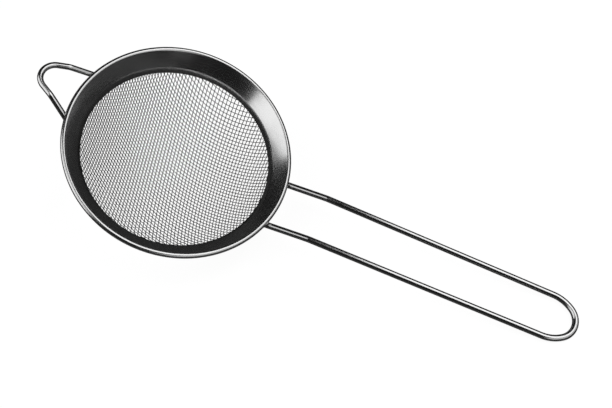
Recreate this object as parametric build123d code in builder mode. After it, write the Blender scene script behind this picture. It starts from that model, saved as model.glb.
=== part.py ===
from build123d import *

import os
from math import asin, atan2, ceil, cos, degrees, radians, sin, sqrt, tan

# A round kitchen strainer of stainless steel, in millimetres. A stamped rim with a curled
# bead carries a bowl of woven wire mesh, which a thin hoop clamps to the rim's collar. A long
# wire handle and a short wire rest loop are welded under the rim on opposite sides.
#
# The strainer lies as it comes to rest, on the round bottom of its bowl and the end of its
# handle, both at z = 0. X runs along the handle, and the origin is under the middle of the
# whole length. "Local" sizes are in the rim's own frame: its origin is the centre of the
# bead's top plane, and its z points out of the bowl.

# Rim
RIM_DIAMETER = 100.0
RIM_SHEET = 0.5
BEAD_DIAMETER = 2.5
CURL_SLIT = 0.35        # between the curl's edge and the back of the cone
CONE_ANGLE = 53.0       # from the rim's plane
CONE_LENGTH = 8.06       # along its slope, down to the throat, where the collar begins
COLLAR_ANGLE = 61.0     # from the rim's plane
COLLAR_LENGTH = 2.9     # along its slope

# Mesh bowl: two layers of ridges that cross, with a gap between each two pairs
MESH_THICKNESS = 0.75
LAYER_LAP = 0.1         # how far the two layers share their depth
BAND_SETBACK = 1.0      # from the throat down to the mesh's edge
RIDGE_PITCH = 7.3
RIDGE_GAP = 3.9
OUTER_RIDGES_ANGLE = 105.0
INNER_RIDGES_ANGLE = -12.0

# Clamp hoop
HOOP_THICKNESS = 0.4

# Handle
HANDLE_WIRE = 2.8
HANDLE_REACH = 131.0    # from the rim's edge to the wire's line at the tip
ROOT_SPAN = 22.2        # between the two wires at the rim
END_SPAN = 19.7         # between the two wires before the rounded end
CREST_REACH = 16.9      # from the rim's edge to the bend
CREST_HEIGHT = 3.2      # of the bend above the bead's top
CREST_RADIUS = 12.0
HANDLE_RISE = 13.8      # degrees, beyond the bend
TIP_RADIUS = 8.6
TIP_TURN = 55.0         # degrees, each half of the tip's arc
TIP_FLAT = 0.2          # straight stretch at the middle of each tip

# Rest loop
LOOP_WIRE = 2.6
LOOP_REACH = 16.2       # from the rim's edge to the wire's line at the tip
LOOP_ROOT_SPAN = 28.6
LOOP_TIP_RADIUS = 6.5
LOOP_TIP_TURN = 65.0
LOOP_CREST_REACH = 7.8
LOOP_CREST_HEIGHT = 0.0
LOOP_CREST_RADIUS = 6.0

# Welds of both wires to the back of the cone
WELD_SINK = 0.3         # how far the wire is set into the weld
WELD_SETBACK = 0.2      # from the wire's end up to the throat, along the cone
BEAD_CLEARANCE = 0.15
KNEE_RADIUS = 3.0
KNEE_ROOM = 0.9         # share of the welded run that a knee's arc may take


def down_slope(point, angle, distance):
    """A point of the section, moved down along a slope that leans towards the axis."""
    return (point[0] - distance * cos(radians(angle)), point[1] - distance * sin(radians(angle)))


def outward(point, angle, distance):
    """A point of the section, moved square to that slope, out of the bowl."""
    return (point[0] + distance * sin(radians(angle)), point[1] - distance * cos(radians(angle)))


# Section of the rim, as (radius, height)
rim_radius = RIM_DIAMETER / 2
bead_radius = BEAD_DIAMETER / 2
curl_radius = bead_radius - RIM_SHEET
bead_centre = (rim_radius - bead_radius, -bead_radius)
cone_top = outward(bead_centre, CONE_ANGLE, -bead_radius)
throat = down_slope(cone_top, CONE_ANGLE, CONE_LENGTH)
collar_foot = down_slope(throat, COLLAR_ANGLE, COLLAR_LENGTH)
half_turn = (COLLAR_ANGLE - CONE_ANGLE) / 2
throat_back = outward(throat, CONE_ANGLE + half_turn, RIM_SHEET / cos(radians(half_turn)))
cone_back = outward(cone_top, CONE_ANGLE, RIM_SHEET)
foot_back = outward(collar_foot, COLLAR_ANGLE, RIM_SHEET)
curl_start = 90 + CONE_ANGLE
curl_open = degrees(asin((curl_radius - CURL_SLIT) / bead_radius))
curl_end = curl_start + 90 - curl_open - 360

# Sphere of the bowl, tangent to the collar's back at its foot
bowl_inner = foot_back[0] / sin(radians(COLLAR_ANGLE))
bowl_outer = bowl_inner + MESH_THICKNESS
bowl_height = foot_back[1] + bowl_inner * cos(radians(COLLAR_ANGLE))
band_top = down_slope(outward(throat, COLLAR_ANGLE, RIM_SHEET), COLLAR_ANGLE, BAND_SETBACK)

# Tip of the handle
tip_x = rim_radius + HANDLE_REACH
crest_x = rim_radius + CREST_REACH
handle_slope = tan(radians(HANDLE_RISE))
tip_height = CREST_HEIGHT + (tip_x - crest_x) * handle_slope
handle_radius = HANDLE_WIRE / 2

# At rest both the bowl's sphere and the tip's wire touch z = 0
lean = bowl_height - tip_height
rest_tilt = asin((bowl_outer - handle_radius) / sqrt(lean**2 + tip_x**2)) - atan2(lean, tip_x)
rim_height = bowl_outer - bowl_height * cos(rest_tilt)

# Both ends of the length, measured from below the rim's centre, set the origin between them
loop_radius = LOOP_WIRE / 2
loop_tip_x = rim_radius + LOOP_REACH
front_end = tip_x * cos(rest_tilt) + tip_height * sin(rest_tilt) + handle_radius
back_end = loop_tip_x * cos(rest_tilt) - LOOP_CREST_HEIGHT * sin(rest_tilt) + loop_radius
rim_shift = (back_end - front_end) / 2

rim_plane = Plane(
    origin=(rim_shift, 0, rim_height),
    x_dir=(cos(rest_tilt), 0, -sin(rest_tilt)),
    z_dir=(sin(rest_tilt), 0, cos(rest_tilt)),
)
section_plane = Plane(rim_plane.origin, x_dir=rim_plane.x_dir, z_dir=-rim_plane.y_dir)
rim_axis = Axis(rim_plane.origin, rim_plane.z_dir)


# Rim: one stamped ring of sheet, with an open curl for a bead, a cone and a short collar
with BuildPart() as rim:
    with BuildSketch(section_plane):
        with BuildLine():
            Polyline(cone_top, throat, collar_foot, foot_back, throat_back, cone_back)
            CenterArc(bead_centre, curl_radius, curl_start, curl_end - curl_start)
            curl_tip = Vector(cos(radians(curl_end)), sin(radians(curl_end)))
            Line(
                Vector(*bead_centre) + curl_tip * curl_radius,
                Vector(*bead_centre) + curl_tip * bead_radius,
            )
            CenterArc(bead_centre, bead_radius, curl_end, curl_start - curl_end)
        make_face()
    revolve(axis=rim_axis)
rim.part.label = "rim"


def ridge_gaps(turn):
    """Strips between parallel ridges, inside the collar's foot, in the current sketch."""
    reach = foot_back[0]
    count = 2 * ceil(reach / RIDGE_PITCH)
    across = Vector(-sin(radians(turn)), cos(radians(turn)))
    for step in range(count):
        offset = (step - (count - 1) / 2) * RIDGE_PITCH
        with Locations(across * offset):
            Rectangle(3 * reach, RIDGE_GAP, rotation=turn)
    Circle(collar_foot[0] - MESH_THICKNESS, mode=Mode.INTERSECT)


split_radius = (bowl_inner + bowl_outer) / 2
bowl_centre = (0, bowl_height)

# What is taken away between the outer ridges: strips of the wall's outer half
with BuildPart() as outer_gaps:
    with BuildSketch(rim_plane):
        ridge_gaps(OUTER_RIDGES_ANGLE)
    extrude(amount=-2 * bowl_outer)
    with BuildSketch(section_plane):
        with BuildLine():
            CenterArc(bowl_centre, split_radius - LAYER_LAP / 2, -90, COLLAR_ANGLE)
            CenterArc(bowl_centre, bowl_outer + MESH_THICKNESS, -90, COLLAR_ANGLE)
            Line((0, bowl_height - split_radius + LAYER_LAP / 2),
                 (0, bowl_height - bowl_outer - MESH_THICKNESS))
            Line(outward(bowl_centre, COLLAR_ANGLE, split_radius - LAYER_LAP / 2),
                 outward(bowl_centre, COLLAR_ANGLE, bowl_outer + MESH_THICKNESS))
        make_face()
    revolve(axis=rim_axis, mode=Mode.INTERSECT)

# What is taken away between the inner ridges: strips of the wall's inner half
with BuildPart() as inner_gaps:
    with BuildSketch(rim_plane):
        ridge_gaps(INNER_RIDGES_ANGLE)
    extrude(amount=-2 * bowl_outer)
    with BuildSketch(section_plane):
        with BuildLine():
            CenterArc(bowl_centre, split_radius + LAYER_LAP / 2, -90, COLLAR_ANGLE)
            Line(bowl_centre, (0, bowl_height - split_radius - LAYER_LAP / 2))
            Line(bowl_centre, outward(bowl_centre, COLLAR_ANGLE, split_radius + LAYER_LAP / 2))
        make_face()
    revolve(axis=rim_axis, mode=Mode.INTERSECT)

# Mesh bowl: a plain edge band that lies on the collar's back, and the ridged wall below it
with BuildPart() as mesh_bowl:
    with BuildSketch(section_plane):
        with BuildLine():
            Polyline(
                foot_back,
                band_top,
                outward(band_top, COLLAR_ANGLE, MESH_THICKNESS),
                outward(foot_back, COLLAR_ANGLE, MESH_THICKNESS),
            )
            CenterArc(bowl_centre, bowl_inner, -90, COLLAR_ANGLE)
            CenterArc(bowl_centre, bowl_outer, -90, COLLAR_ANGLE)
            Line((0, bowl_height - bowl_inner), (0, bowl_height - bowl_outer))
        make_face()
    revolve(axis=rim_axis)
    add(outer_gaps.part, mode=Mode.SUBTRACT)
    add(inner_gaps.part, mode=Mode.SUBTRACT)
mesh_bowl.part.label = "mesh_bowl"

# Clamp hoop: a strip round the mesh's edge band
hoop_top = outward(band_top, COLLAR_ANGLE, MESH_THICKNESS)
hoop_foot = outward(foot_back, COLLAR_ANGLE, MESH_THICKNESS)
with BuildPart() as clamp_hoop:
    with BuildSketch(section_plane):
        with BuildLine():
            Polyline(
                hoop_top,
                hoop_foot,
                outward(hoop_foot, COLLAR_ANGLE, HOOP_THICKNESS),
                outward(hoop_top, COLLAR_ANGLE, HOOP_THICKNESS),
                close=True,
            )
        make_face()
    revolve(axis=rim_axis)
clamp_hoop.part.label = "clamp_hoop"

# The space up to the back of the cone, which the welded wire ends are cut to
with BuildPart() as cone_space:
    with BuildSketch(section_plane):
        with BuildLine():
            Polyline(
                (0, cone_back[1]), cone_back, throat_back, (0, throat_back[1]), close=True
            )
        make_face()
    revolve(axis=rim_axis)


def welded_end(wire_radius, half_span):
    """Local points of a wire's end and knee, on its line along the back of the cone.

    Above the knee the wire turns away from the cone and passes below the bead.
    """
    throat_place = outward(throat, CONE_ANGLE, RIM_SHEET + wire_radius - WELD_SINK)
    knee_setback = CONE_LENGTH - BEAD_DIAMETER - 2 * wire_radius - BEAD_CLEARANCE
    end_place = down_slope(throat_place, CONE_ANGLE, -WELD_SETBACK)
    knee_place = down_slope(throat_place, CONE_ANGLE, -knee_setback)
    azimuth = asin(half_span / knee_place[0])
    return [
        (radius * cos(azimuth), radius * sin(azimuth), height)
        for radius, height in (end_place, knee_place)
    ]


def knee_radius(points):
    """The bend radius at a wire's knee, no larger than its welded run has room for."""
    end, corner, crest = (Vector(*point) for point in points[:3])
    turn = radians((corner - end).get_angle(crest - corner))
    return min(KNEE_RADIUS, KNEE_ROOM * (corner - end).length / tan(turn / 2))


def both_sides(points, radii):
    """The points and bend radii of a wire that is the same on both sides of y = 0."""
    other = [(x, -y, z) for x, y, z in reversed(points)]
    return points + other, radii + list(reversed(radii))


# Handle: one wire from weld to weld, round the tip
root, knee = welded_end(handle_radius, ROOT_SPAN / 2)
tip_corner = TIP_RADIUS * tan(radians(TIP_TURN / 2)) + TIP_FLAT / 2
shoulder_x = tip_x - (END_SPAN / 2 - tip_corner) * tan(radians(TIP_TURN))
shoulder_room = (END_SPAN / 2 - tip_corner) / cos(radians(TIP_TURN)) - tip_corner
shoulder_radius = shoulder_room / tan(radians((90 - TIP_TURN) / 2))
narrowing = (knee[1] - END_SPAN / 2) / (shoulder_x - knee[0])
handle_side = [
    root,
    knee,
    (crest_x, knee[1] - narrowing * (crest_x - knee[0]), CREST_HEIGHT),
    (shoulder_x, END_SPAN / 2, CREST_HEIGHT + (shoulder_x - crest_x) * handle_slope),
    (tip_x, tip_corner, tip_height),
]
handle_points, handle_radii = both_sides(
    handle_side, [knee_radius(handle_side), CREST_RADIUS, shoulder_radius, TIP_RADIUS]
)
with BuildPart() as handle:
    with BuildLine(rim_plane):
        handle_line = FilletPolyline(*handle_points, radius=handle_radii)
    with BuildSketch(Plane(handle_line @ 0, z_dir=handle_line % 0)):
        Circle(handle_radius)
    sweep(path=handle_line)
    add(cone_space.part, mode=Mode.SUBTRACT)
handle.part.label = "handle"

# Rest loop: one shorter wire on the other side
loop_root, loop_knee = welded_end(loop_radius, LOOP_ROOT_SPAN / 2)
loop_corner = LOOP_TIP_RADIUS * tan(radians(LOOP_TIP_TURN / 2)) + TIP_FLAT / 2
loop_crest_x = rim_radius + LOOP_CREST_REACH
loop_narrowing = (loop_knee[1] - loop_corner) / (loop_tip_x - loop_knee[0])
loop_crest_y = loop_knee[1] - loop_narrowing * (loop_crest_x - loop_knee[0])
loop_side = [
    (-loop_root[0], loop_root[1], loop_root[2]),
    (-loop_knee[0], loop_knee[1], loop_knee[2]),
    (-loop_crest_x, loop_crest_y, LOOP_CREST_HEIGHT),
    (-loop_tip_x, loop_corner, LOOP_CREST_HEIGHT),
]
loop_points, loop_radii = both_sides(
    loop_side, [knee_radius(loop_side), LOOP_CREST_RADIUS, LOOP_TIP_RADIUS]
)
with BuildPart() as rest_loop:
    with BuildLine(rim_plane):
        loop_line = FilletPolyline(*loop_points, radius=loop_radii)
    with BuildSketch(Plane(loop_line @ 0, z_dir=loop_line % 0)):
        Circle(loop_radius)
    sweep(path=loop_line)
    add(cone_space.part, mode=Mode.SUBTRACT)
rest_loop.part.label = "rest_loop"

os.makedirs("parts", exist_ok=True)
export_step(rim.part, "parts/rim.step")
export_step(mesh_bowl.part, "parts/mesh_bowl.step")
export_step(clamp_hoop.part, "parts/clamp_hoop.step")
export_step(handle.part, "parts/handle.step")
export_step(rest_loop.part, "parts/rest_loop.step")
print("rest tilt", round(degrees(rest_tilt), 2), "rim centre", round(rim_shift, 2), round(rim_height, 2))
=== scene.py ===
from math import asin, ceil, cos, pi, radians, sin, tan

import bpy
import numpy as np
from mathutils import Matrix, Vector


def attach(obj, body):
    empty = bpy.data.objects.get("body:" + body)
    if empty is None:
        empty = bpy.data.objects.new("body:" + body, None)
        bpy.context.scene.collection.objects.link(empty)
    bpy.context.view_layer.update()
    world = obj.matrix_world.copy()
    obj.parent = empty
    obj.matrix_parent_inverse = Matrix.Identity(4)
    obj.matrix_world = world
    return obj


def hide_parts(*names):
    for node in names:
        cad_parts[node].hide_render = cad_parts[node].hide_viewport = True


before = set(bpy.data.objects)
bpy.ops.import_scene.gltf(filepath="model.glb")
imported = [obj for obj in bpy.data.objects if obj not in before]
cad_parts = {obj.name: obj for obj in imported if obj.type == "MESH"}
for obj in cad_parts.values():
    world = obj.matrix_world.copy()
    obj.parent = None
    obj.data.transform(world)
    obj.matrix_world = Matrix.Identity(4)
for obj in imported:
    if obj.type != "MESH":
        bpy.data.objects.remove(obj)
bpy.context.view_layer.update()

# ---------------------------------------------------------------------------------------------
# Rim. One ring pressed from half-millimetre stainless sheet and polished bright on both sides.
# Its edge is curled into an open bead, a cone leads down from the bead, and a short, steeper
# collar below the cone holds the mesh.
MM = 0.001
RIM_CENTRE = Vector((-59.268, 0, 36.034)) * MM
REST_TILT = radians(20.657)
RIM_RADIUS = 50 * MM
RIM_SHEET = 0.5 * MM
BEAD_RADIUS = 1.25 * MM
CURL_SLIT = 0.35 * MM
CONE_ANGLE = radians(53)
CONE_LENGTH = 8.06 * MM
THROAT_BEND = 0.45 * MM
COLLAR_ANGLE = radians(61)
COLLAR_LENGTH = 2.9 * MM
SHEET_EDGE = 0.06 * MM
BEAD_STEPS = 30
THROAT_STEPS = 4
EDGE_STEPS = 2
RIM_STEPS = 224
SHARP_ANGLE = radians(60)
SHEET_SMOOTH_ANGLE = radians(35)
MERGE_DISTANCE = 0.001 * MM

STAINLESS = "c4c4c4"
STAINLESS_ROUGHNESS = (0.15, 0.24)
# The polishing wheel's rings are finer than a tenth of a millimetre. They are drawn coarser, so
# that they show, and so shallow that they only streak the reflections. Clouds a finger's width
# across make some places duller than others.
RING_SPACING = 0.22 * MM
RING_LENGTH = 9 * MM
RING_DEPTH = 0.0006 * MM
POLISH_CLOUD = 11 * MM
RINGS_SHARE = 0.5
MIXED_RANGE = (0.45, 1.05)

rim_frame = Matrix.Translation(RIM_CENTRE) @ Matrix.Rotation(REST_TILT, 4, "Y")


def add_alone(operator, **settings):
    """Adds a primitive with nothing else selected, in edit mode, and returns its object."""
    bpy.ops.object.select_all(action="DESELECT")
    operator(**settings)
    bpy.ops.object.transform_apply(location=True, rotation=True, scale=True)
    bpy.ops.object.mode_set(mode="EDIT")
    return bpy.context.object


def select_where(piece, test):
    """Selects the vertices of a piece in edit mode whose place passes the test."""
    bpy.ops.mesh.select_all(action="DESELECT")
    bpy.ops.object.mode_set(mode="OBJECT")
    for vertex in piece.data.vertices:
        vertex.select = test(vertex.co)
    bpy.ops.object.mode_set(mode="EDIT")


def point_at(place):
    """Starts a piece from a single vertex at a place, selected, in edit mode."""
    piece = add_alone(bpy.ops.mesh.primitive_plane_add, size=MM, location=place)
    bpy.ops.mesh.merge(type="CENTER")
    return piece


def on_section(radius, height):
    """A point of the rim's section, in the rim's own frame."""
    return Vector((radius, 0, height))


def down_slope(place, angle, distance):
    """A point of the section moved down a slope that leans towards the axis."""
    return place - Vector((cos(angle), 0, sin(angle))) * distance


def outward(place, angle, distance):
    """A point of the section moved square to that slope, out of the bowl."""
    return place + Vector((sin(angle), 0, -cos(angle))) * distance


def extrude_to(start, end):
    """Draws the selection out from one place to the next."""
    bpy.ops.mesh.extrude_region_move(TRANSFORM_OT_translate={"value": end - start})


def spun_shut(steps):
    """Spins the section once round the rim's axis and merges the seam."""
    bpy.ops.mesh.select_all(action="SELECT")
    bpy.ops.mesh.spin(steps=steps, angle=2 * pi, center=(0, 0, 0), axis=(0, 0, 1))
    bpy.ops.mesh.select_all(action="SELECT")
    bpy.ops.mesh.remove_doubles(threshold=MERGE_DISTANCE)
    bpy.ops.mesh.normals_make_consistent(inside=False)
    bpy.ops.object.mode_set(mode="OBJECT")


def apply_modifier(piece, kind, **settings):
    """Adds a modifier to a piece and applies it."""
    modifier = piece.modifiers.new(kind.lower(), kind)
    for name, value in settings.items():
        setattr(modifier, name, value)
    bpy.context.view_layer.objects.active = piece
    bpy.ops.object.modifier_apply(modifier=modifier.name)


def set_on_rim(piece, name, smooth_angle):
    """Moves a finished piece from the rim's own frame to its place, and names it."""
    bpy.ops.object.select_all(action="DESELECT")
    piece.select_set(True)
    bpy.context.view_layer.objects.active = piece
    piece.matrix_world = rim_frame
    bpy.ops.object.transform_apply(location=True, rotation=True, scale=True)
    bpy.ops.object.shade_smooth_by_angle(angle=smooth_angle)
    piece.name = name
    piece.data.name = name


def linear(hex_colour):
    """A linear RGBA colour from an sRGB hex value."""
    shares = [int(hex_colour[i:i + 2], 16) / 255 for i in (0, 2, 4)]
    return [s / 12.92 if s <= 0.04045 else ((s + 0.055) / 1.055) ** 2.4 for s in shares] + [1]


def add_node(material, kind, settings={}, **links):
    """Adds a node. Settings go to its properties or sockets, and each link to the input it names.

    A link's name has _ for a space, or is _ and the input's number.
    """
    node = material.node_tree.nodes.new(kind)
    for name, value in settings.items():
        if isinstance(name, str) and hasattr(node, name):
            setattr(node, name, value)
        else:
            node.inputs[name].default_value = value
    for name, source in links.items():
        number = name.removeprefix("_")
        target = node.inputs[int(number) if number.isdigit() else name.replace("_", " ")]
        material.node_tree.links.new(source, target)
    return node


def new_material(name):
    """A material with only its output node."""
    material = bpy.data.materials.new(name)
    material.use_nodes = True
    material.node_tree.nodes.clear()
    return material


def finish_material(material, shader):
    """Links the shader to the material's output."""
    output = add_node(material, "ShaderNodeOutputMaterial")
    material.node_tree.links.new(shader, output.inputs["Surface"])
    return material


def rim_coordinates(material):
    """Object coordinates turned and moved into the rim's own frame."""
    place = add_node(material, "ShaderNodeTexCoord").outputs["Object"]
    moved = add_node(
        material, "ShaderNodeMapping",
        {"vector_type": "TEXTURE", "Location": RIM_CENTRE, "Rotation": (0, REST_TILT, 0)},
        Vector=place,
    )
    return moved.outputs["Vector"]


def spread_roughness(material, pattern, pattern_range, roughness_range):
    """Roughness that follows a pattern, from its lowest values to its highest."""
    return add_node(
        material, "ShaderNodeMapRange",
        {"From Min": pattern_range[0], "From Max": pattern_range[1],
         "To Min": roughness_range[0], "To Max": roughness_range[1]},
        Value=pattern,
    )


def polished_sheet():
    """Bright polished stainless sheet. Fine rings round the axis streak and soften reflections."""
    material = new_material("polished_stainless_sheet")
    place = rim_coordinates(material)
    parts = add_node(material, "ShaderNodeSeparateXYZ", Vector=place)
    flat = add_node(material, "ShaderNodeCombineXYZ", X=parts.outputs["X"], Y=parts.outputs["Y"])
    radius = add_node(material, "ShaderNodeVectorMath", {"operation": "LENGTH"}, _0=flat.outputs[0])
    heading = add_node(material, "ShaderNodeVectorMath", {"operation": "NORMALIZE"}, _0=flat.outputs[0])
    around = add_node(
        material, "ShaderNodeVectorMath",
        {"operation": "SCALE", "Scale": RIM_RADIUS / RING_LENGTH}, _0=heading.outputs[0],
    )
    along = add_node(
        material, "ShaderNodeMath", {"operation": "SUBTRACT"},
        _0=radius.outputs["Value"], _1=parts.outputs["Z"],
    )
    across = add_node(
        material, "ShaderNodeMath", {"operation": "MULTIPLY", 1: 1 / RING_SPACING}, _0=along.outputs[0],
    )
    step = add_node(material, "ShaderNodeCombineXYZ", Z=across.outputs[0])
    ring_place = add_node(
        material, "ShaderNodeVectorMath", {"operation": "ADD"}, _0=around.outputs[0], _1=step.outputs[0],
    )
    rings = add_node(
        material, "ShaderNodeTexNoise", {"Scale": 1.0, "Detail": 2.0, "Roughness": 0.6},
        Vector=ring_place.outputs[0],
    )
    clouds = add_node(
        material, "ShaderNodeTexNoise", {"Scale": 1 / POLISH_CLOUD, "Detail": 3.0, "Roughness": 0.5},
        Vector=place,
    )
    mixed = add_node(
        material, "ShaderNodeMath", {"operation": "MULTIPLY_ADD", 1: RINGS_SHARE},
        _0=rings.outputs[0], _2=clouds.outputs[0],
    )
    roughness = spread_roughness(material, mixed.outputs[0], MIXED_RANGE, STAINLESS_ROUGHNESS)
    bump = add_node(
        material, "ShaderNodeBump", {"Strength": 1.0, "Distance": RING_DEPTH}, Height=rings.outputs[0],
    )
    shader = add_node(
        material, "ShaderNodeBsdfPrincipled", {"Base Color": linear(STAINLESS), "Metallic": 1.0},
        Roughness=roughness.outputs[0], Normal=bump.outputs[0],
    )
    return finish_material(material, shader.outputs[0])


# The section is drawn from the curl's edge round the bead, then down the cone and the collar
curl_open = asin((BEAD_RADIUS - RIM_SHEET - CURL_SLIT) / BEAD_RADIUS)
curl_turn = 3 * pi / 2 + curl_open
bead_centre = on_section(RIM_RADIUS - BEAD_RADIUS, -BEAD_RADIUS)
cone_top = outward(bead_centre, CONE_ANGLE, -BEAD_RADIUS)
throat = down_slope(cone_top, CONE_ANGLE, CONE_LENGTH)
collar_foot = down_slope(throat, COLLAR_ANGLE, COLLAR_LENGTH)

rim = point_at(cone_top)
bpy.ops.mesh.spin(steps=BEAD_STEPS, angle=-curl_turn, center=bead_centre, axis=(0, 1, 0))
select_where(rim, lambda place: (place - cone_top).length < MERGE_DISTANCE)
extrude_to(cone_top, throat)
extrude_to(throat, collar_foot)
select_where(rim, lambda place: (place - throat).length < MERGE_DISTANCE)
bpy.ops.mesh.bevel(offset=THROAT_BEND, segments=THROAT_STEPS, affect="VERTICES")
spun_shut(RIM_STEPS)

# The line is the face that looks into the bowl. Its normals are made to look there too, and the
# sheet's thickness goes behind it.
cone_face = next(
    face for face in rim.data.polygons
    if throat.z < face.center.z < cone_top.z and Vector(face.center[:2]).length < cone_top.x - MM
)
if cone_face.normal.z < 0:
    rim.data.flip_normals()
apply_modifier(
    rim, "SOLIDIFY", thickness=RIM_SHEET, offset=-1, use_even_offset=True, use_quality_normals=True
)
apply_modifier(rim, "BEVEL", width=SHEET_EDGE, segments=EDGE_STEPS, angle_limit=SHARP_ANGLE)
set_on_rim(rim, "rim_ring", SHEET_SMOOTH_ANGLE)
rim.data.materials.append(polished_sheet())
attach(rim, "root")
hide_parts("rim")

# ---------------------------------------------------------------------------------------------
# Mesh bowl. Plain-woven stainless wire cloth, 16 to 18 wires to the inch, pressed into a round
# bowl. The pressing draws both sets of wires apart unevenly. Their ends run up between the
# collar and the hoop.
BOWL_WALL = 0.75 * MM
BAND_SETBACK = 1.0 * MM
MESH_WIRE = 0.36 * MM
MESH_WIRE_SIDES = 6
MESH_WIRE_SMOOTH_ANGLE = radians(75)
STEPS_PER_CROSSING = 4

# Each set of wires as it lies, seen square to the rim: its spacing and direction at the bowl's
# middle, and how the pressing draws it, per metre (lean, spread, bend) and per square metre
# (crowding, skew)
WARP = {"spacing": 1.584 * MM, "turn": radians(15.2), "lean": -1.48, "spread": 0, "bend": 0,
        "crowding": 121, "skew": -106}
WEFT = {"spacing": 1.415 * MM, "turn": radians(77.5), "lean": 1.21, "spread": 4.13, "bend": -1.44,
        "crowding": 0, "skew": 0}

# Wires are tried out to WIRES_REACH times the bowl's radius, each along a line of LINE_PLACES
# places that is a little longer than the bowl is wide. Each round of closing in takes away a
# share of what a place is off its wire, and wires too short to weave are left out.
WIRES_REACH = 1.6
LINE_REACH = 1.05
LINE_PLACES = 2000
SHORTEST_WIRE_PLACES = 60
CLOSING_ROUNDS = 40
CLOSING_SHARE = 0.6

# Painted shade: the wires are coloured far darker than the same steel in the sheet.
DRAWN_WIRE_PAINTED_SHADE = "4c4c4c"
DRAWN_WIRE_ROUGHNESS = (0.22, 0.38)
DRAWN_CLOUD = 2.5 * MM
CLOUD_RANGE = (0.3, 0.7)

foot_back = outward(collar_foot, COLLAR_ANGLE, RIM_SHEET)
bowl_radius = foot_back.x / sin(COLLAR_ANGLE) + BOWL_WALL / 2
bowl_height = foot_back.z + foot_back.x / tan(COLLAR_ANGLE)
edge_foot = outward(foot_back, COLLAR_ANGLE, BOWL_WALL / 2)
edge_top = outward(
    down_slope(outward(throat, COLLAR_ANGLE, RIM_SHEET), COLLAR_ANGLE, BAND_SETBACK),
    COLLAR_ANGLE, BOWL_WALL / 2,
)


def wall_place(x, y, lift):
    """A point of the wall above a plan place, lifted square to the wall by the weave."""
    radius = np.hypot(x, y)
    slope = np.where(radius < edge_foot.x, np.arcsin(np.minimum(radius / bowl_radius, 1)), COLLAR_ANGLE)
    height = np.where(
        radius < edge_foot.x,
        bowl_height - np.sqrt(np.maximum(bowl_radius**2 - radius**2, 0)),
        edge_foot.z + (radius - edge_foot.x) * tan(COLLAR_ANGLE),
    )
    inwards = -np.sin(slope) * lift / np.maximum(radius, 1e-9)
    return np.stack([x * (1 + inwards), y * (1 + inwards), height + np.cos(slope) * lift], 1)


def wire_number(wires, x, y):
    """Which wire of a set passes a plan place, as a number that runs on between the wires."""
    across = x * cos(wires["turn"]) + y * sin(wires["turn"])
    along = y * cos(wires["turn"]) - x * sin(wires["turn"])
    drawn = across * (1 + wires["lean"] * across + wires["spread"] * along)
    drawn += wires["bend"] * along**2 + wires["crowding"] * across**3 + wires["skew"] * across**2 * along
    return drawn / wires["spacing"]


def wire_line(wires, number, along):
    """Plan places of one wire of a set, found by closing in on the line where its number holds."""
    across = np.full_like(along, number * wires["spacing"])
    for _ in range(CLOSING_ROUNDS):
        x = across * cos(wires["turn"]) - along * sin(wires["turn"])
        y = across * sin(wires["turn"]) + along * cos(wires["turn"])
        across += CLOSING_SHARE * (number - wire_number(wires, x, y)) * wires["spacing"]
    return x, y


def weave(name, wires_here, wires_across, side):
    """One set of wires, each over and under the wires of the other set in turn."""
    curve = bpy.data.curves.new(name, "CURVE")
    curve.dimensions = "3D"
    curve.bevel_depth = MESH_WIRE / 2
    curve.bevel_resolution = MESH_WIRE_SIDES // 2 - 2
    curve.use_fill_caps = True
    reach = edge_top.x
    last = ceil(WIRES_REACH * reach / wires_here["spacing"])
    for number in range(-last, last + 1):
        along = np.linspace(-LINE_REACH * reach, LINE_REACH * reach, LINE_PLACES)
        x, y = wire_line(wires_here, number, along)
        inside = np.hypot(x, y) < reach
        if inside.sum() < SHORTEST_WIRE_PLACES:
            continue
        crossing = wire_number(wires_across, x[inside], y[inside])
        low, high = sorted((crossing[0], crossing[-1]))
        marks = np.arange(ceil(low * STEPS_PER_CROSSING), high * STEPS_PER_CROSSING) / STEPS_PER_CROSSING
        marks = np.concatenate([[low], marks, [high]])
        order = np.argsort(crossing)
        x_at, y_at = (np.interp(marks, crossing[order], v[inside][order]) for v in (x, y))
        lift = side * MESH_WIRE / 2 * np.cos(pi * (marks + number))
        places = wall_place(x_at, y_at, lift)
        spline = curve.splines.new("POLY")
        spline.points.add(len(places) - 1)
        spline.points.foreach_set("co", np.column_stack([places, np.ones(len(places))]).ravel())
    wires = bpy.data.objects.new(name, curve)
    bpy.context.scene.collection.objects.link(wires)
    bpy.ops.object.select_all(action="DESELECT")
    wires.select_set(True)
    bpy.context.view_layer.objects.active = wires
    bpy.ops.object.convert(target="MESH")
    wires = bpy.context.object
    bpy.ops.object.mode_set(mode="EDIT")
    bpy.ops.mesh.select_all(action="SELECT")
    bpy.ops.mesh.remove_doubles(threshold=MERGE_DISTANCE)
    bpy.ops.object.mode_set(mode="OBJECT")
    set_on_rim(wires, name, MESH_WIRE_SMOOTH_ANGLE)
    return wires


def drawn_wire_painted_shade():
    """Fine stainless wire, duller than the sheet, its colour darkened as painted shade."""
    material = new_material("drawn_stainless_wire_painted_shade")
    place = add_node(material, "ShaderNodeTexCoord").outputs["Object"]
    clouds = add_node(
        material, "ShaderNodeTexNoise", {"Scale": 1 / DRAWN_CLOUD, "Detail": 2.0, "Roughness": 0.6},
        Vector=place,
    )
    roughness = spread_roughness(material, clouds.outputs[0], CLOUD_RANGE, DRAWN_WIRE_ROUGHNESS)
    shader = add_node(
        material, "ShaderNodeBsdfPrincipled", {"Base Color": linear(DRAWN_WIRE_PAINTED_SHADE), "Metallic": 1.0},
        Roughness=roughness.outputs[0],
    )
    return finish_material(material, shader.outputs[0])


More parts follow.
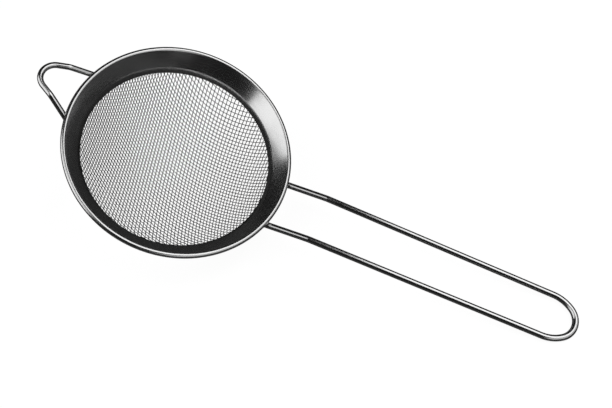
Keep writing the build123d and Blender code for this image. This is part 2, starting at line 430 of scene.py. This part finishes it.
mesh_steel = drawn_wire_painted_shade()
warp_wires = weave("mesh_warp_wires", WARP, WEFT, 1)
weft_wires = weave("mesh_weft_wires", WEFT, WARP, -1)
for wires in (warp_wires, weft_wires):
    wires.data.materials.append(mesh_steel)
    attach(wires, "root")
    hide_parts("mesh_bowl")

# ---------------------------------------------------------------------------------------------
# Clamp hoop. A narrow strip of the same sheet, closed round the mesh's edge and pressed on to
# it, so that the mesh is held against the back of the collar.
HOOP_THICKNESS = 0.4 * MM
HOOP_EDGE = 0.08 * MM

hoop_top = outward(edge_top, COLLAR_ANGLE, BOWL_WALL / 2)
hoop_foot = outward(edge_foot, COLLAR_ANGLE, BOWL_WALL / 2)
clamp_hoop = point_at(hoop_top)
extrude_to(hoop_top, hoop_foot)
spun_shut(RIM_STEPS)
if clamp_hoop.data.polygons[0].normal.z > 0:
    clamp_hoop.data.flip_normals()
apply_modifier(clamp_hoop, "SOLIDIFY", thickness=HOOP_THICKNESS, offset=1, use_even_offset=True)
apply_modifier(clamp_hoop, "BEVEL", width=HOOP_EDGE, segments=EDGE_STEPS, angle_limit=SHARP_ANGLE)
set_on_rim(clamp_hoop, "mesh_clamp_hoop", SHEET_SMOOTH_ANGLE)
clamp_hoop.data.materials.append(rim.data.materials[0])
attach(clamp_hoop, "root")
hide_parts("clamp_hoop")

# ---------------------------------------------------------------------------------------------
# Handle. One length of bright stainless wire, bent flat into a long loop and then bent down
# from a crest near the rim. Both ends are welded to the back of the cone.
HANDLE_RADIUS = 1.4 * MM
HANDLE_REACH = 131 * MM
ROOT_SPAN = 22.2 * MM
END_SPAN = 19.7 * MM
CREST_REACH = 16.9 * MM
CREST_HEIGHT = 3.2 * MM
HANDLE_RISE = radians(13.8)
TIP_RADIUS = 8.6 * MM
TIP_TURN = radians(55)
TIP_FLAT = 0.2 * MM
WELD_SINK = 0.3 * MM
WELD_SETBACK = 0.2 * MM
BEAD_CLEARANCE = 0.15 * MM
KNEE_RADIUS = 3 * MM
CREST_RADIUS = 12 * MM
WIRE_SIDES = 28
BEND_STEP = radians(3)
WIRE_SMOOTH_ANGLE = radians(50)

BRIGHT_WIRE = "c4c4c4"
BRIGHT_WIRE_ROUGHNESS = (0.11, 0.19)
WIRE_POLISH_CLOUD = 7.7 * MM


def welded_end(wire_radius, half_span):
    """The wire's end and knee on its line along the back of the cone, in the rim's own frame."""
    end_place = down_slope(
        outward(throat, CONE_ANGLE, RIM_SHEET + wire_radius - WELD_SINK), CONE_ANGLE, -WELD_SETBACK
    )
    knee_setback = CONE_LENGTH - 2 * BEAD_RADIUS - 2 * wire_radius - BEAD_CLEARANCE - WELD_SETBACK
    knee_place = down_slope(end_place, CONE_ANGLE, -knee_setback)
    heading = Matrix.Rotation(asin(half_span / knee_place.x), 3, "Z")
    return [heading @ end_place, heading @ knee_place]


def both_sides(points, radii):
    """The points and bend radii of a wire that is the same on both sides of its middle."""
    other = [Vector((p.x, -p.y, p.z)) for p in reversed(points)]
    return points + other, radii + list(reversed(radii))


def bend_wire(name, points, radii, wire_radius):
    """Draws a round wire from end to end: straight runs, and an arc of its radius at each bend."""
    heading = (points[1] - points[0]).normalized()
    wire = add_alone(
        bpy.ops.mesh.primitive_circle_add, vertices=WIRE_SIDES, radius=wire_radius,
        fill_type="TRIFAN", location=points[0], rotation=heading.to_track_quat("Z", "Y").to_euler(),
    )
    bpy.ops.mesh.select_all(action="SELECT")
    here = points[0]
    for corner, beyond, radius in zip(points[1:-1], points[2:], radii):
        leaving = (beyond - corner).normalized()
        turn = heading.angle(leaving)
        setback = radius * tan(turn / 2)
        bend_start = corner - heading * setback
        extrude_to(here, bend_start)
        axis = heading.cross(leaving).normalized()
        bpy.ops.mesh.spin(
            steps=ceil(turn / BEND_STEP), angle=-turn,
            center=bend_start + axis.cross(heading) * radius, axis=axis,
        )
        here = corner + leaving * setback
        heading = leaving
    extrude_to(here, points[-1])
    bpy.ops.mesh.select_all(action="SELECT")
    bpy.ops.mesh.remove_doubles(threshold=MERGE_DISTANCE)
    bpy.ops.mesh.normals_make_consistent(inside=False)
    bpy.ops.object.mode_set(mode="OBJECT")
    set_on_rim(wire, name, WIRE_SMOOTH_ANGLE)
    return wire


def polished_wire():
    """Thick stainless wire, polished almost to a mirror, with slightly cloudy patches."""
    material = new_material("polished_stainless_wire")
    place = add_node(material, "ShaderNodeTexCoord").outputs["Object"]
    clouds = add_node(
        material, "ShaderNodeTexNoise",
        {"Scale": 1 / WIRE_POLISH_CLOUD, "Detail": 3.0, "Roughness": 0.55}, Vector=place,
    )
    roughness = spread_roughness(material, clouds.outputs[0], CLOUD_RANGE, BRIGHT_WIRE_ROUGHNESS)
    shader = add_node(
        material, "ShaderNodeBsdfPrincipled", {"Base Color": linear(BRIGHT_WIRE), "Metallic": 1.0},
        Roughness=roughness.outputs[0],
    )
    return finish_material(material, shader.outputs[0])


handle_slope = tan(HANDLE_RISE)
tip_x = RIM_RADIUS + HANDLE_REACH
crest_x = RIM_RADIUS + CREST_REACH
tip_corner = TIP_RADIUS * tan(TIP_TURN / 2) + TIP_FLAT / 2
shoulder_x = tip_x - (END_SPAN / 2 - tip_corner) * tan(TIP_TURN)
shoulder_room = (END_SPAN / 2 - tip_corner) / cos(TIP_TURN) - tip_corner
shoulder_radius = shoulder_room / tan((pi / 2 - TIP_TURN) / 2)
root, knee = welded_end(HANDLE_RADIUS, ROOT_SPAN / 2)
narrowing = (knee.y - END_SPAN / 2) / (shoulder_x - knee.x)
handle_points, handle_radii = both_sides(
    [
        root,
        knee,
        Vector((crest_x, knee.y - narrowing * (crest_x - knee.x), CREST_HEIGHT)),
        Vector((shoulder_x, END_SPAN / 2, CREST_HEIGHT + (shoulder_x - crest_x) * handle_slope)),
        Vector((tip_x, tip_corner, CREST_HEIGHT + (tip_x - crest_x) * handle_slope)),
    ],
    [KNEE_RADIUS, CREST_RADIUS, shoulder_radius, TIP_RADIUS],
)
handle = bend_wire("wire_handle", handle_points, handle_radii, HANDLE_RADIUS)
handle.data.materials.append(polished_wire())
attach(handle, "root")
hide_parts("handle")

# ---------------------------------------------------------------------------------------------
# Rest loop. A short pointed loop of slightly thinner wire, welded on opposite the handle. It
# rests on the edge of a cup or a pot.
LOOP_RADIUS = 1.3 * MM
LOOP_REACH = 16.2 * MM
LOOP_ROOT_SPAN = 28.6 * MM
LOOP_TIP_RADIUS = 6.5 * MM
LOOP_TIP_TURN = radians(65)
LOOP_CREST_REACH = 7.8 * MM
LOOP_CREST_RADIUS = 6 * MM

loop_tip_x = RIM_RADIUS + LOOP_REACH
loop_crest_x = RIM_RADIUS + LOOP_CREST_REACH
loop_corner = LOOP_TIP_RADIUS * tan(LOOP_TIP_TURN / 2) + TIP_FLAT / 2
loop_root, loop_knee = welded_end(LOOP_RADIUS, LOOP_ROOT_SPAN / 2)
loop_narrowing = (loop_knee.y - loop_corner) / (loop_tip_x - loop_knee.x)
loop_points, loop_radii = both_sides(
    [
        loop_root,
        loop_knee,
        Vector((loop_crest_x, loop_knee.y - loop_narrowing * (loop_crest_x - loop_knee.x), 0)),
        Vector((loop_tip_x, loop_corner, 0)),
    ],
    [KNEE_RADIUS, LOOP_CREST_RADIUS, LOOP_TIP_RADIUS],
)
loop_points = [Vector((-p.x, p.y, p.z)) for p in loop_points]
rest_loop = bend_wire("wire_rest_loop", loop_points, loop_radii, LOOP_RADIUS)
rest_loop.data.materials.append(handle.data.materials[0])
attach(rest_loop, "root")
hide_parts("rest_loop")

# ---------------------------------------------------------------------------------------------
# Floor and room. A white table that keeps a faint shadow, in a white room. The steel mirrors
# only a small share of both, which keeps it as dark as polished steel between black screens.
FLOOR_SIZE = 6.0
FLOOR_WHITE = "f4f4f4"
FLOOR_DIM = "242424"
FLOOR_GLOW_SHARE = 0.8
FLOOR_GLOW = 1.16
FLOOR_GLOSSY_SHARE = 0.04
ROOM_GLOSSY_SHARE = 0.016

floor = add_alone(bpy.ops.mesh.primitive_plane_add, size=FLOOR_SIZE, location=(0, 0, 0))
bpy.ops.object.mode_set(mode="OBJECT")
floor.name = "floor"
white_table = new_material("white_table")
path = add_node(white_table, "ShaderNodeLightPath")
seen = add_node(
    white_table, "ShaderNodeMath", {"operation": "MULTIPLY_ADD", 1: FLOOR_GLOSSY_SHARE},
    _0=path.outputs["Is Glossy Ray"], _2=path.outputs["Is Camera Ray"],
)
shown = add_node(
    white_table, "ShaderNodeMath", {"operation": "ADD", "use_clamp": True},
    _0=seen.outputs[0], _1=path.outputs["Is Transmission Ray"],
)
glow_share = add_node(
    white_table, "ShaderNodeMath", {"operation": "MULTIPLY", 1: FLOOR_GLOW_SHARE}, _0=shown.outputs[0],
)
paint = add_node(
    white_table, "ShaderNodeMix",
    {"data_type": "RGBA", 6: linear(FLOOR_DIM), 7: linear(FLOOR_WHITE)}, _0=shown.outputs[0],
)
matt = add_node(white_table, "ShaderNodeBsdfDiffuse", Color=paint.outputs[2])
glow = add_node(white_table, "ShaderNodeEmission", {"Color": (1, 1, 1, 1), "Strength": FLOOR_GLOW})
table_top = add_node(
    white_table, "ShaderNodeMixShader", _0=glow_share.outputs[0], _1=matt.outputs[0], _2=glow.outputs[0],
)
finish_material(white_table, table_top.outputs[0])
floor.data.materials.append(white_table)

room = bpy.data.worlds.new("room")
bpy.context.scene.world = room
room.use_nodes = True
room.node_tree.nodes.clear()
room_path = add_node(room, "ShaderNodeLightPath")
room_mirrored = add_node(
    room, "ShaderNodeMath", {"operation": "MULTIPLY_ADD", 1: ROOM_GLOSSY_SHARE},
    _0=room_path.outputs["Is Glossy Ray"], _2=room_path.outputs["Is Camera Ray"],
)
room_seen = add_node(
    room, "ShaderNodeMath", {"operation": "ADD", "use_clamp": True},
    _0=room_mirrored.outputs[0], _1=room_path.outputs["Is Transmission Ray"],
)
backdrop = add_node(
    room, "ShaderNodeBackground", {"Color": (1, 1, 1, 1)}, Strength=room_seen.outputs[0],
)
room_output = add_node(room, "ShaderNodeOutputWorld")
room.node_tree.links.new(backdrop.outputs[0], room_output.inputs["Surface"])

# ---------------------------------------------------------------------------------------------
# Lamps. Four soft panels: a large one on the left, one overhead on each side, and a long wall
# of light on the right.


def soft_panel(name, centre, azimuth, elevation, width, height, glow):
    """A flat panel lamp, as bright all over as its glow, that shines from a heading in degrees."""
    a, e = radians(azimuth), radians(elevation)
    away = Vector((cos(a) * cos(e), sin(a) * cos(e), sin(e)))
    lamp = bpy.data.lights.new(name, "AREA")
    lamp.shape = "RECTANGLE"
    lamp.size, lamp.size_y, lamp.energy = width, height, glow * pi * width * height
    panel = bpy.data.objects.new(name, lamp)
    panel.location = centre
    panel.rotation_euler = away.to_track_quat("Z", "Y").to_euler()
    bpy.context.scene.collection.objects.link(panel)


soft_panel(
    "left_panel", centre=(-0.90, -0.51, 0.70), azimuth=212, elevation=32, width=1.20, height=0.72,
    glow=1.5,
)
soft_panel(
    "overhead_panel", centre=(-0.42, -0.28, 1.0), azimuth=0, elevation=90, width=0.6, height=0.75,
    glow=1.05,
)
soft_panel(
    "right_panel", centre=(0.42, 0.40, 1.0), azimuth=0, elevation=90, width=0.66, height=1.1,
    glow=1.75,
)
soft_panel(
    "right_wall", centre=(1.05, -0.25, 0.75), azimuth=0, elevation=35, width=2.6, height=0.8,
    glow=0.75,
)

# ---------------------------------------------------------------------------------------------
# Camera. A 50 mm lens, a third of a metre above the strainer and a little in front of it.
CAMERA_PLACE = Vector((80.47, -164.20, 338.98)) * MM
CAMERA_TARGET = Vector((-7.16, 12.90, 0.09)) * MM
CAMERA_ROLL = radians(-3.70)
FOCAL_LENGTH = 50.0
SENSOR_WIDTH = 36.0

lens = bpy.data.cameras.new("camera")
lens.lens = FOCAL_LENGTH
lens.sensor_width = SENSOR_WIDTH
camera = bpy.data.objects.new("camera", lens)
camera.location = CAMERA_PLACE
look = (CAMERA_TARGET - CAMERA_PLACE).to_track_quat("-Z", "Y").to_matrix()
camera.rotation_euler = (look @ Matrix.Rotation(CAMERA_ROLL, 3, "Z")).to_euler()
bpy.context.scene.collection.objects.link(camera)
bpy.context.scene.camera = camera
bpy.context.scene.view_settings.view_transform = "Standard"
